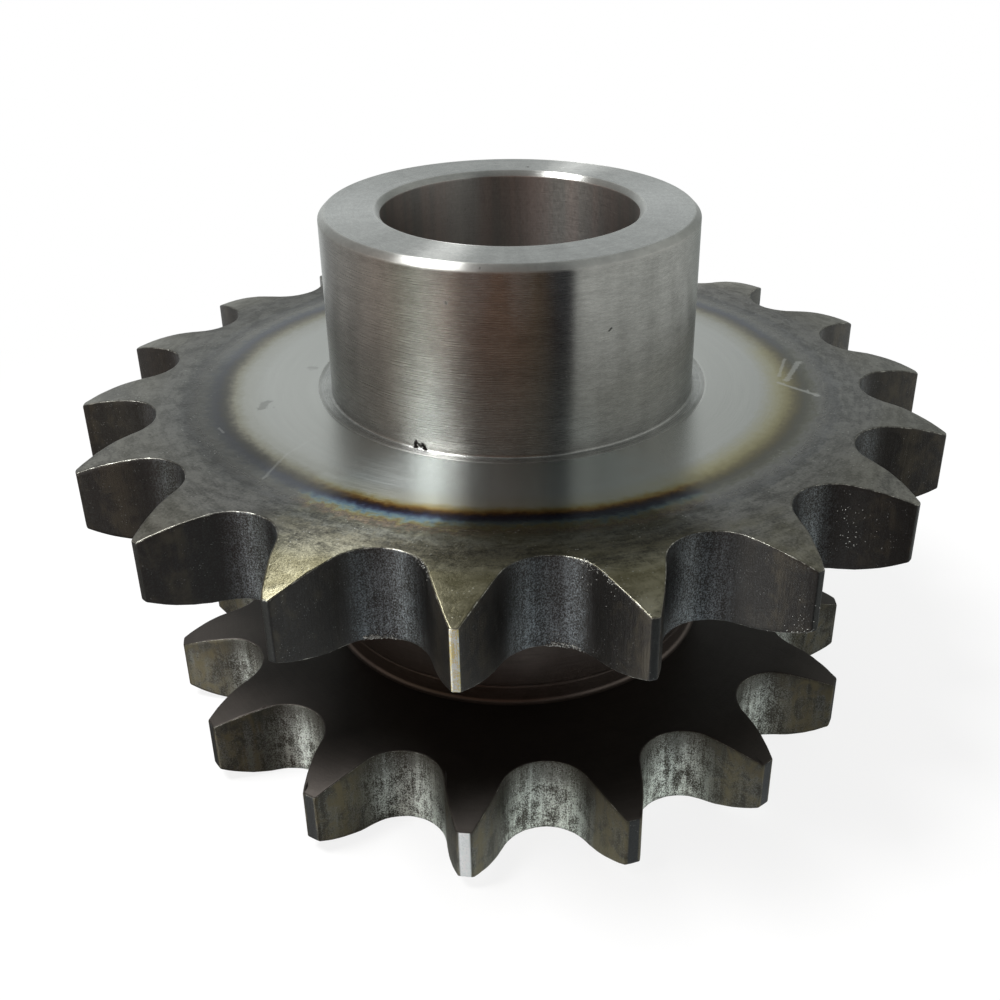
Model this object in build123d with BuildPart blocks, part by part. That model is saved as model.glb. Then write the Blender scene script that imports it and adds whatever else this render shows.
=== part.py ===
# Double chain sprocket turned and milled from one steel bar: a large toothed ring under a tall
# hub, a plain neck below it, and a smaller toothed ring for the same chain at the bottom.
# Millimetres. The bore's axis is Z, the lower ring's flat face lies on Z = 0, the hub points to +Z,
# and one tooth of the upper ring is centred on the -Y side.

from build123d import *
import os
from math import acos, atan2, cos, degrees, hypot, radians, sin, sqrt, tan, pi

# Chain that both rings carry: one inch pitch
pitch = 25.4
roller_diameter = 15.88

# Toothed rings
upper_teeth = 18
lower_teeth = 15
upper_width = 16.0
lower_width = 15.2
lower_turn = -1.43          # degrees that the lower ring's teeth stand round from the upper ring's

# Tooth form: a round seat for the roller, then a convex flank up to a narrow tip
seat_clearance = 0.08
upper_seat_angle = 123.0
lower_seat_angle = 128.0
upper_flank_radius = 62.0
lower_flank_radius = 44.0
tip_factor = 0.6            # share of a pitch that the teeth stand out, in the usual tip formula

# Side relief: each tooth's two faces fall away in an arc towards the tip
relief_depth = 2.7
relief_radius = 28.0

# Hub, neck and bore
hub_diameter = 67.6
hub_height = 32.7
hub_chamfer = 1.0
groove_width = 2.4          # shallow relief groove turned into the disc around the hub's foot
groove_depth = 0.3
neck_diameter = 73.8
neck_length = 32.9
neck_bevel = 0.5
bore_diameter = 46.0
bore_chamfer = 0.9

# Two sizes nearer than this count as the same when an edge is looked up
same = 0.01

# Heights and radii that follow from them
lower_top = lower_width
upper_bottom = lower_top + neck_length
upper_top = upper_bottom + upper_width
hub_top = upper_top + hub_height
seat_radius = roller_diameter / 2 + seat_clearance
relief_length = sqrt(2 * relief_radius * relief_depth - relief_depth**2)


def pitch_radius(teeth):
    return pitch / (2 * sin(pi / teeth))


def tip_radius(teeth):
    return pitch * (tip_factor + 1 / tan(pi / teeth)) / 2


def rims(part, radius, *heights):
    """The part's circular edges of this radius that lie at any of these heights."""
    circles = part.edges().filter_by(GeomType.CIRCLE).filter_by(lambda edge: abs(edge.radius - radius) < same)
    return circles.filter_by(lambda edge: any(abs(edge.center().Z - height) < same for height in heights))


def ring_section(teeth, bottom, width):
    """Half section of one toothed ring, from the bore's wall to the tips."""
    tip = tip_radius(teeth)
    flat_end = tip - relief_length
    top = bottom + width
    with BuildSketch() as section:
        with BuildLine():
            Line((bore_diameter / 2, bottom), (flat_end, bottom))
            TangentArc((flat_end, bottom), (tip, bottom + relief_depth), tangent=(1, 0))
            Line((tip, bottom + relief_depth), (tip, top - relief_depth))
            TangentArc((flat_end, top), (tip, top - relief_depth), tangent=(1, 0))
            Line((flat_end, top), (bore_diameter / 2, top))
            Line((bore_diameter / 2, top), (bore_diameter / 2, bottom))
        make_face()
    return section.sketch


def tooth_gap(teeth, seat_angle, flank_radius):
    """Outline of one gap on the +X axis: the roller's seat, a flank on each side, open past the tips."""
    roller_centre = pitch_radius(teeth)
    side = radians(180 - seat_angle / 2)
    reach = seat_radius + flank_radius
    flank_centre = (roller_centre + reach * cos(side), reach * sin(side))
    # the flank ends on the tip circle, found from the triangle of both centres and that point
    span = hypot(*flank_centre)
    corner = acos((span**2 + flank_radius**2 - tip_radius(teeth)**2) / (2 * span * flank_radius))
    heading = atan2(-flank_centre[1], -flank_centre[0]) + corner
    tip_end = (flank_centre[0] + flank_radius * cos(heading), flank_centre[1] + flank_radius * sin(heading))
    turn = degrees(heading - (side - pi))
    outside = tip_radius(teeth) + seat_radius
    with BuildSketch() as gap:
        with BuildLine() as half:
            CenterArc((roller_centre, 0), seat_radius, 180, -seat_angle / 2)
            CenterArc(flank_centre, flank_radius, degrees(side) - 180, turn)
            Polyline(tip_end, (outside, tip_end[1]), (outside, 0))
            mirror(half.line, about=Plane.XZ)
        make_face()
    return gap.sketch


# Piece: the whole sprocket, one solid
with BuildPart() as double_sprocket:

    # Turned blank: both rings, the neck between them and the hub on top
    with BuildSketch(Plane.XZ):
        add(ring_section(lower_teeth, 0, lower_width))
        add(ring_section(upper_teeth, upper_bottom, upper_width))
    revolve(axis=Axis.Z)
    with BuildSketch(Plane.XY.offset(lower_top)):
        Circle(neck_diameter / 2)
        Circle(bore_diameter / 2, mode=Mode.SUBTRACT)
    extrude(amount=neck_length)
    with BuildSketch(Plane.XY.offset(upper_top)):
        Circle(hub_diameter / 2)
        Circle(bore_diameter / 2, mode=Mode.SUBTRACT)
    extrude(amount=hub_height)

    # Small bevels in the corners where the neck meets both rings
    chamfer(rims(double_sprocket, neck_diameter / 2, lower_top, upper_bottom), neck_bevel)

    # Relief groove around the hub's foot
    with BuildSketch(Plane.XY.offset(upper_top)):
        Circle(hub_diameter / 2 + groove_width)
        Circle(hub_diameter / 2, mode=Mode.SUBTRACT)
    extrude(amount=-groove_depth, mode=Mode.SUBTRACT)

    # Turned chamfers on the hub's rim and at both mouths of the bore
    chamfer(rims(double_sprocket, hub_diameter / 2, hub_top), hub_chamfer)
    chamfer(rims(double_sprocket, bore_diameter / 2, 0, hub_top), bore_chamfer)

    # Tooth gaps of the upper ring
    with BuildSketch(Plane.XY.offset(upper_bottom)):
        with PolarLocations(0, upper_teeth, start_angle=-90 + 180 / upper_teeth):
            add(tooth_gap(upper_teeth, upper_seat_angle, upper_flank_radius))
    extrude(amount=upper_width, mode=Mode.SUBTRACT)

    # Tooth gaps of the lower ring
    with BuildSketch(Plane.XY):
        with PolarLocations(0, lower_teeth, start_angle=-90 + 180 / lower_teeth + lower_turn):
            add(tooth_gap(lower_teeth, lower_seat_angle, lower_flank_radius))
    extrude(amount=lower_width, mode=Mode.SUBTRACT)

os.makedirs("parts", exist_ok=True)
double_sprocket.part.label = "double_sprocket"
export_step(double_sprocket.part, "parts/double_sprocket.step")
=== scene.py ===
import math

import bpy
from mathutils import Euler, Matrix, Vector


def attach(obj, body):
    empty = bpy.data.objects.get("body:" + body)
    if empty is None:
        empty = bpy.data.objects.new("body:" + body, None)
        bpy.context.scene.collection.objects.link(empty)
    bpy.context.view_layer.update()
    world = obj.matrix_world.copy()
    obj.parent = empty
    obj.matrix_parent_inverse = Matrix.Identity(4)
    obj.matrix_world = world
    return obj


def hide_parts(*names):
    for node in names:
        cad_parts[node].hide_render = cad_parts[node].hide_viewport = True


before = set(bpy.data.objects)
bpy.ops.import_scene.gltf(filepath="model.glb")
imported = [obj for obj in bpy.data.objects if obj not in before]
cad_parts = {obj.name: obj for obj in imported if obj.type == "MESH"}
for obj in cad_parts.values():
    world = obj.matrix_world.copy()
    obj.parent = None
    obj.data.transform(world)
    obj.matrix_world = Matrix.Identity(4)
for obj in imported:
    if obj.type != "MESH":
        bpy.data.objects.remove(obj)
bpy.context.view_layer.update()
scene = bpy.context.scene
scene.view_settings.view_transform = "Standard"


# A socket that can be written into a formula: every operation adds a Math node to its tree
class Wire:
    def __init__(self, tree, socket):
        self.tree = tree
        self.socket = socket

    def __neg__(self):
        return mathNode("MULTIPLY", self, -1.0)


for sign, operation in {"add": "ADD", "sub": "SUBTRACT", "mul": "MULTIPLY", "truediv": "DIVIDE"}.items():
    setattr(Wire, f"__{sign}__", lambda self, other, kind=operation: mathNode(kind, self, other))
    setattr(Wire, f"__r{sign}__", lambda self, other, kind=operation: mathNode(kind, other, self))


def treeOf(*terms):
    return next(term.tree for term in terms if isinstance(term, Wire))


def feed(tree, socket, value):
    if isinstance(value, Wire):
        tree.links.new(value.socket, socket)
    else:
        socket.default_value = value


def addNode(tree, kind, inputs=None, output=0, **settings):
    node = tree.nodes.new(kind)
    for name, value in settings.items():
        setattr(node, name, value)
    for name, value in (inputs or {}).items():
        feed(tree, node.inputs[name], value)
    return Wire(tree, node.outputs[output])


def mathNode(operation, *terms, clamp=False):
    tree = treeOf(*terms)
    node = tree.nodes.new("ShaderNodeMath")
    node.operation = operation
    node.use_clamp = clamp
    for socket, term in zip(node.inputs, terms):
        feed(tree, socket, term)
    return Wire(tree, node.outputs[0])


def pick(share, whenNone, whenOne):
    return whenNone + (whenOne - whenNone) * share


# 0 below start, 1 above end, smooth between
def rise(value, start, end):
    return addNode(value.tree, "ShaderNodeMapRange", {0: value, 1: start, 2: end, 3: 0.0, 4: 1.0},
                   interpolation_type="SMOOTHSTEP")


# 0 outside both slopes, 1 between them
def span(value, slopes):
    return rise(value, *slopes[0]) * (1 - rise(value, *slopes[1]))


def joined(x, y, z):
    return addNode(treeOf(x, y, z), "ShaderNodeCombineXYZ", {0: x, 1: y, 2: z})


def vectorNode(operation, *terms):
    output = 1 if operation in ("DISTANCE", "DOT_PRODUCT", "LENGTH") else 0
    inputs = dict(enumerate(terms))
    return addNode(treeOf(*terms), "ShaderNodeVectorMath", inputs, output, operation=operation)


def scaledBy(vector, factor):
    return addNode(vector.tree, "ShaderNodeVectorMath", {0: vector, "Scale": factor}, operation="SCALE")


def split(vector):
    node = vector.tree.nodes.new("ShaderNodeSeparateXYZ")
    feed(vector.tree, node.inputs[0], vector)
    return [Wire(vector.tree, output) for output in node.outputs]


def noise(vector, scale, detail=2.0, roughness=0.5, distortion=0.0):
    return addNode(vector.tree, "ShaderNodeTexNoise", {"Vector": vector, "Scale": scale, "Detail": detail,
                                                       "Roughness": roughness, "Distortion": distortion})


def ramp(value, stops):
    node = value.tree.nodes.new("ShaderNodeValToRGB")
    elements = node.color_ramp.elements
    while len(elements) < len(stops):
        elements.new(1.0)
    for element, (place, colour) in zip(elements, stops):
        element.position = place
        element.color = (*colour, 1.0)
    feed(value.tree, node.inputs[0], value)
    return Wire(value.tree, node.outputs[0])


def mixColour(share, first, second, blend="MIX"):
    tree = treeOf(share, first, second)
    first, second = [(*colour, 1.0) if isinstance(colour, tuple) else colour for colour in (first, second)]
    return addNode(tree, "ShaderNodeMix", {0: share, 6: first, 7: second}, output=2,
                   data_type="RGBA", blend_type=blend)


def shaded(colour, shade):
    return mixColour(1.0, colour, joined(shade, shade, shade), "MULTIPLY")


# Camera, as the photograph was taken

photographView = {
    "place": (0.02250, -0.21451, 0.15761),
    "turn": (61.2295, -0.0689, 4.4120),
    "lens": 44.428,
    "sensor": 36,
    "shift": (-0.04402, -0.01016),
}


def addCamera(view):
    data = bpy.data.cameras.new("photographView")
    camera = bpy.data.objects.new("photographView", data)
    scene.collection.objects.link(camera)
    camera.location = view["place"]
    camera.rotation_euler = Euler([math.radians(angle) for angle in view["turn"]])
    data.lens = view["lens"]
    data.sensor_width = view["sensor"]
    data.shift_x, data.shift_y = view["shift"]
    data.clip_start, data.clip_end = 0.01, 20
    scene.camera = camera


addCamera(photographView)
print("camera placed")


# Studio: pale floor, a soft window lamp, the room that the metal mirrors

studio = {
    "floorColour": (0.88, 0.88, 0.875),
    "floorSize": 6.0,
    "floorRoughness": 0.7,
    "floorShine": 0.2,
    "floorWhiteLeast": 0.84,    # how much of the floor the camera sees as pure white, by the sprocket
    "floorWhiteFrom": 0.09,     # and how far out it becomes all of it
    "floorWhiteTo": 0.24,
    "lamps": {
        # name: (degrees right of the front, degrees up, distance, width, height, strength)
        "windowLamp": (-73, 62, 0.9, 0.30, 0.30, 39.0),
    },
    # what stands around the object: degrees from the front, and its tone
    "room": [
        (-180, (0.92, 0.96, 0.96)), (-150, (0.80, 0.83, 0.82)), (-128, (0.42, 0.42, 0.41)),
        (-98, (0.51, 0.47, 0.44)), (-72, (0.56, 0.46, 0.40)), (-49, (0.37, 0.35, 0.25)),
        (-30, (0.40, 0.25, 0.185)), (-19, (0.20, 0.11, 0.078)), (-8, (0.23, 0.115, 0.075)),
        (3, (0.21, 0.105, 0.065)), (20, (0.14, 0.085, 0.05)), (32, (0.014, 0.008, 0.014)),
        (40, (0.008, 0.006, 0.018)), (43, (0.92, 0.92, 0.89)), (118, (0.78, 0.79, 0.76)),
        (150, (0.36, 0.38, 0.36)), (168, (0.44, 0.46, 0.45)), (180, (0.92, 0.96, 0.96)),
    ],
    "ceilingLeft": (0.50, 0.52, 0.52),
    "ceilingRight": (0.42, 0.435, 0.43),
    "ceilingAcross": (-0.5, 0.7),
    "ceilingAbove": (0.5, 0.85),
    # the card glows though it is no lamp: a painted reflection that only the metal shows
    "cardFrom": 0.050,          # round card that only reflections see, in the room's tones
    "cardTo": 1.6,
    "cardHeight": 0.0005,
    "cardSteps": 96,
    # the card's near part glows pale in front and dark behind, and palest closest to the teeth: a painted
    # reflection of a pale floor beside the teeth
    "nearPart": {
        "innerMiddle": 26,      # the way that it is palest, in degrees
        "outerMiddle": -4,
        "between": (0.08, 0.10),
        "width": 52,
        "evenShare": 0.4,
        "least": 0.06,
        "strength": 1.7,
        "fading": (0.15, 0.17),
        "cover": 0.85,
    },
    "nearTones": [
        (0.064, (0.90, 0.94, 0.90)), (0.070, (0.60, 0.65, 0.67)), (0.085, (0.60, 0.65, 0.67)),
        (0.110, (0.58, 0.65, 0.70)), (0.170, (0.55, 0.62, 0.67)),
    ],
}


def direction(around, up):
    around, up = math.radians(around), math.radians(up)
    return Vector((math.sin(around) * math.cos(up), -math.cos(around) * math.cos(up), math.sin(up)))


def addMesh(name, points, faces):
    mesh = bpy.data.meshes.new(name)
    mesh.from_pydata(points, [], faces)
    thing = bpy.data.objects.new(name, mesh)
    scene.collection.objects.link(thing)
    return thing


def newMaterial(name):
    material = bpy.data.materials.new(name)
    material.use_nodes = True
    tree = material.node_tree
    return material, tree, tree.nodes["Principled BSDF"]


def lookedAt(tree):
    path = tree.nodes.new("ShaderNodeLightPath")
    return Wire(tree, path.outputs["Is Camera Ray"])


def addFloor(studio):
    half = studio["floorSize"] / 2
    corners = [(-half, -half, 0), (half, -half, 0), (half, half, 0), (-half, half, 0)]
    floor = addMesh("floor", corners, [(0, 1, 2, 3)])
    material, tree, shader = newMaterial("paleFloor")
    shader.inputs["Base Color"].default_value = (*studio["floorColour"], 1)
    shader.inputs["Roughness"].default_value = studio["floorRoughness"]
    shader.inputs["Specular IOR Level"].default_value = studio["floorShine"]
    x, y, _ = split(addNode(tree, "ShaderNodeTexCoord", output=3))
    distance = mathNode("SQRT", x * x + y * y)
    least = studio["floorWhiteLeast"]
    seen = rise(distance, studio["floorWhiteFrom"], studio["floorWhiteTo"]) * (1 - least) + least
    white = tree.nodes.new("ShaderNodeEmission")
    mix = tree.nodes.new("ShaderNodeMixShader")
    feed(tree, mix.inputs[0], seen * lookedAt(tree))
    tree.links.new(shader.outputs[0], mix.inputs[1])
    tree.links.new(white.outputs[0], mix.inputs[2])
    tree.links.new(mix.outputs[0], tree.nodes["Material Output"].inputs["Surface"])
    floor.data.materials.append(material)


# the room's tones by the way round, from a place or a direction
def roomTones(studio, x, y):
    around = mathNode("ARCTAN2", x, -y) / (2 * math.pi) + 0.5
    return ramp(around, [((angle + 180) / 360, colour) for angle, colour in studio["room"]])


def addCard(studio):
    steps, lift = studio["cardSteps"], Vector((0, 0, studio["cardHeight"]))
    points, faces = [], []
    for step in range(steps):
        way = direction(360 * step / steps, 0)
        points += [way * studio["cardFrom"] + lift, way * studio["cardTo"] + lift]
        after = (step + 1) % steps
        faces.append((2 * step, 2 * step + 1, 2 * after + 1, 2 * after))
    card = addMesh("roundCard", points, faces)
    material, tree, shader = newMaterial("roundCard")
    glow = tree.nodes.new("ShaderNodeEmission")
    x, y, _ = split(addNode(tree, "ShaderNodeTexCoord", output=3))
    near = studio["nearPart"]
    radius = mathNode("SQRT", x * x + y * y)
    middle = pick(rise(radius, *near["between"]), near["innerMiddle"], near["outerMiddle"])
    around = mathNode("ABSOLUTE", mathNode("ARCTAN2", x, -y) * (180 / math.pi) - middle)
    pale = 1 - rise(around, near["width"] * near["evenShare"], near["width"]) * (1 - near["least"])
    pale = shaded(ramp(radius, studio["nearTones"]), pale * near["strength"])
    cover = (1 - rise(radius, *near["fading"])) * near["cover"]
    feed(tree, glow.inputs["Color"], mixColour(cover, roomTones(studio, x, y), pale))
    tree.links.new(glow.outputs[0], tree.nodes["Material Output"].inputs["Surface"])
    card.data.materials.append(material)
    card.visible_camera = card.visible_diffuse = card.visible_shadow = card.visible_transmission = False


def addLamps(studio):
    for name, (around, up, distance, width, height, strength) in studio["lamps"].items():
        data = bpy.data.lights.new(name, "AREA")
        data.shape = "RECTANGLE"
        data.size, data.size_y = width, height
        data.energy = strength * math.pi * width * height
        lamp = bpy.data.objects.new(name, data)
        scene.collection.objects.link(lamp)
        lamp.location = Vector((0, 0, 0.05)) + direction(around, up) * distance
        lamp.rotation_euler = direction(around, up).to_track_quat("Z", "Y").to_euler()
        lamp.visible_camera = False


def addRoom(studio):
    world = bpy.data.worlds.new("room")
    scene.world = world
    world.use_nodes = True
    tree = world.node_tree
    background = tree.nodes["Background"]
    x, y, z = split(addNode(tree, "ShaderNodeTexCoord", output=0))
    walls = roomTones(studio, x, y)
    ceiling = mixColour(rise(x, *studio["ceilingAcross"]), studio["ceilingLeft"], studio["ceilingRight"])
    room = mixColour(rise(z, *studio["ceilingAbove"]), walls, ceiling)
    feed(tree, background.inputs["Color"], mixColour(lookedAt(tree), room, (1.0, 1.0, 1.0)))


addFloor(studio)
addCard(studio)
addLamps(studio)
addRoom(studio)
print("studio lit")


# Shape trees: a mesh and named values go in (whole numbers as such), a mesh comes out

def newShapeTree(name, source, values, result):
    tree = bpy.data.node_groups.new(name, "GeometryNodeTree")
    tree.interface.new_socket(source, in_out="INPUT", socket_type="NodeSocketGeometry")
    for socketName, value in values.items():
        kind = "NodeSocketInt" if isinstance(value, int) else "NodeSocketFloat"
        tree.interface.new_socket(socketName, in_out="INPUT", socket_type=kind).default_value = value
    tree.interface.new_socket(result, in_out="OUTPUT", socket_type="NodeSocketGeometry")
    given = tree.nodes.new("NodeGroupInput")
    return tree, {output.name: Wire(tree, output) for output in given.outputs if output.name}


def stored(tree, name):
    return addNode(tree, "GeometryNodeInputNamedAttribute", {"Name": name}, data_type="FLOAT")


def madeMesh(holder, tree, values, name):
    modifier = holder.modifiers.new(name, "NODES")
    modifier.node_group = tree
    for item in tree.interface.items_tree:
        if item.in_out == "INPUT" and item.name in values:
            modifier[item.identifier] = values[item.name]
    mesh = bpy.data.meshes.new_from_object(holder.evaluated_get(bpy.context.evaluated_depsgraph_get()))
    mesh.name = name
    holder.modifiers.clear()
    return mesh


# Sprocket, sizes in millimetres and angles in degrees

sprocket = {
    "pitch": 25.4,
    "rollerDiameter": 15.88,
    "seatClearance": 0.08,
    "tipShare": 0.6,            # how far the teeth stand out, as a share of the pitch
    "upperTeeth": 18,
    "upperSeatAngle": 123.0,
    "upperFlankRadius": 62.0,
    "upperBottom": 48.1,
    "upperTop": 64.1,
    "upperSteps": (7, 8, 3, 2),  # divisions of half a gap: seat, flank, corner, tip
    "lowerTeeth": 15,
    "lowerSeatAngle": 128.0,
    "lowerFlankRadius": 44.0,
    "lowerTop": 15.2,
    "lowerTurn": -1.43,         # how far the lower teeth stand round from the upper ones
    "lowerSteps": (9, 9, 3, 3),
    # radii where the rows over and under each ring start to follow its teeth
    "upperFace": 59.0,
    "upperUnder": 56.0,
    "lowerFace": 47.0,
    "lowerUnder": 46.0,
    "reliefDepth": 2.7,
    "reliefRadius": 28.0,
    "tipCorner": 0.5,           # rounding between flank and tip
    "boreRadius": 23.0,
    "boreChamfer": 0.9,
    "hubRadius": 33.8,
    "hubChamfer": 1.0,
    "hubTop": 96.8,
    "grooveWidth": 2.4,
    "grooveDepth": 0.3,
    "neckRadius": 36.9,
    "neckBevel": 0.5,
    "neckLine": 3.7,            # height of the fine turned line above the lower ring
    "wornEdge": 0.28,           # rounding of the tooth edges
    "wornLeast": 0.45,          # and how much of it is left where wear is least and most
    "wornMost": 1.25,
    "columns": 720,             # divisions round: 40 for an upper tooth, 48 for a lower one
    "edgeSeed": 4.0,
    "mergeWithin": 0.000002,    # metres
}

finishes = ["bore", "turned", "disc", "upperTeeth", "underside", "neck", "lowerFace", "lowerTeeth", "foot"]


# The section as rows from the bore's foot up, over the hub and both rings, and back.
# A row is (radius, height, ring, blend, inset, level, lift, edge, finish): ring 0 is round, ring 1 and 2
# follow the upper and lower teeth as far as blend says, with inset, level and lift measured on them.
def sectionRows(size):
    rows = []

    def roundRow(radius, height, finish, edge=0.0):
        rows.append((radius, height, 0, 0.0, 0.0, 0.0, 0.0, edge, finishes.index(finish)))

    def toothRow(base, ring, blend, inset, level, lift, edge, finish):
        rows.append((base, 0.0, ring, blend, inset, level, lift, edge, finishes.index(finish)))

    def roundRows(finish, *places):
        for radius, height, *edge in places:
            roundRow(radius, height, finish, *edge)

    # a turned corner in the middle of three points, with a support row before or after it that keeps its
    # shading narrow
    def corner(points, radius, finishBefore, finishAfter, support):
        before, point, after = [Vector(place) for place in points]
        toBefore, toAfter = [(place - point).normalized() * radius for place in (before, after)]
        away = 2.4
        if support == "before":
            roundRow(*(point + toBefore * away), finishBefore)
        roundRow(*(point + toBefore), finishBefore, 0.6)
        roundRow(*(point + (toBefore + toAfter) * 0.25), finishAfter, 1.0)
        roundRow(*(point + toAfter), finishAfter, 0.6)
        if support == "after":
            roundRow(*(point + toAfter * away), finishAfter)

    def run(start, end, finish, count):
        for step in range(1, count):
            share = step / count
            roundRow(*[first + (last - first) * share for first, last in zip(start, end)], finish)

    # rows over one ring's top, round its edges and flanks, and back under it; an edge is three rows,
    # where its rounding starts, its middle and its end, with a support row beside it
    def ringRows(ring, innerTop, innerBottom, topFinish, flankFinish, underFinish):
        edge = size["wornEdge"]
        middle, support = 0.3 * edge, 1.4 * edge
        for blend in (0.0, 0.18, 0.36, 0.52, 0.66, 0.78, 0.88, 0.95, 0.985, 1.0):
            toothRow(innerTop, ring, blend, support, 1.0, 0.0, 0.0, topFinish)
        toothRow(innerTop, ring, 1.0, edge, 1.0, 0.0, 0.5, topFinish)
        toothRow(innerTop, ring, 1.0, middle, 1.0, -middle, 1.0, flankFinish)
        for level in (1.0, 0.96, 0.76, 0.5, 0.24, 0.04, 0.0):
            worn = 0.5 if level in (0.0, 1.0) else 0.0
            toothRow(innerTop, ring, 1.0, 0.0, level, edge * (1 - 2 * level), worn, flankFinish)
        toothRow(innerBottom, ring, 1.0, middle, 0.0, middle, 1.0, underFinish)
        toothRow(innerBottom, ring, 1.0, edge, 0.0, 0.0, 0.5, underFinish)
        for blend in (1.0, 0.96, 0.84, 0.6, 0.3, 0.0):
            toothRow(innerBottom, ring, blend, support, 0.0, 0.0, 0.0, underFinish)

    bore, hub, neck = size["boreRadius"], size["hubRadius"], size["neckRadius"]
    top, upperTop, upperBottom = size["hubTop"], size["upperTop"], size["upperBottom"]
    lowerTop, mouth, rim = size["lowerTop"], size["boreChamfer"], size["hubChamfer"]
    groove, bed = hub + size["grooveWidth"], upperTop - size["grooveDepth"]
    bevel, line = size["neckBevel"], lowerTop + size["neckLine"]
    upperFace, upperUnder = size["upperFace"], size["upperUnder"]
    lowerFace, lowerUnder = size["lowerFace"], size["lowerUnder"]

    # bore and hub: each turned corner's radius, finishes and support, and the steps on to the next one
    turned = [(lowerUnder, 0), (bore + mouth, 0), (bore, mouth), (bore, top - mouth), (bore + mouth, top),
              (hub - rim, top), (hub, top - rim), (hub, bed)]
    corners = [(0.12, "foot", "turned", "", 0), (0.12, "turned", "bore", "after", 4),
               (0.14, "bore", "turned", "before", 0), (0.16, "turned", "turned", "after", 2),
               (0.18, "turned", "turned", "before", 0), (0.18, "turned", "turned", "after", 4)]
    for place, (radius, finishBefore, finishAfter, support, steps) in enumerate(corners):
        corner(turned[place:place + 3], radius, finishBefore, finishAfter, support)
        run(turned[place + 1], turned[place + 2], finishAfter, steps)
    # groove around the hub's foot
    roundRows("turned", (hub, bed + 0.5), (hub, bed + 0.12), (hub + 0.12, bed), (hub + 0.6, bed),
              (groove - 0.9, bed), (groove - 0.35, bed + 0.03, 0.4), (groove - 0.06, upperTop - 0.05, 1.0))
    roundRows("disc", (groove + 0.08, upperTop, 0.6), (groove + 0.5, upperTop))
    run((groove, upperTop), (upperFace, upperTop), "disc", 6)
    # upper ring
    ringRows(1, upperFace, upperUnder, "disc", "upperTeeth", "underside")
    run((upperUnder, upperBottom), (neck + bevel, upperBottom), "underside", 2)
    # neck, with a fine turned line low down
    roundRow(neck + bevel + 0.3, upperBottom, "underside")
    roundRows("neck", (neck + bevel, upperBottom, 0.5), (neck, upperBottom - bevel, 0.5),
              (neck, upperBottom - bevel - 0.3))
    run((neck, upperBottom - bevel), (neck, line), "neck", 3)
    roundRows("neck", (neck, line + 0.5), (neck, line + 0.22, 0.6), (neck - 0.14, line, 1.0),
              (neck, line - 0.22, 0.6), (neck, line - 0.5), (neck, lowerTop + bevel + 0.35),
              (neck, lowerTop + bevel, 1.0), (neck + bevel, lowerTop, 1.0))
    roundRow(neck + bevel + 0.35, lowerTop, "lowerFace")
    run((neck + bevel, lowerTop), (lowerFace, lowerTop), "lowerFace", 3)
    # lower ring and its flat foot
    ringRows(2, lowerFace, lowerUnder, "lowerFace", "lowerTeeth", "foot")
    run((lowerUnder, 0), (bore + mouth, 0), "foot", 2)
    return rows


rowAttributes = ["ring", "blend", "inset", "level", "lift", "edge", "finish"]


def addSection(size):
    rows = sectionRows(size)
    chain = addMesh("section", [(row[0], 0.0, row[1]) for row in rows], [])
    for place, name in enumerate(rowAttributes, start=2):
        attribute = chain.data.attributes.new(name, "FLOAT", "POINT")
        attribute.data.foreach_set("value", [float(row[place]) for row in rows])
    print("section has", len(rows), "rows")
    return chain


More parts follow.
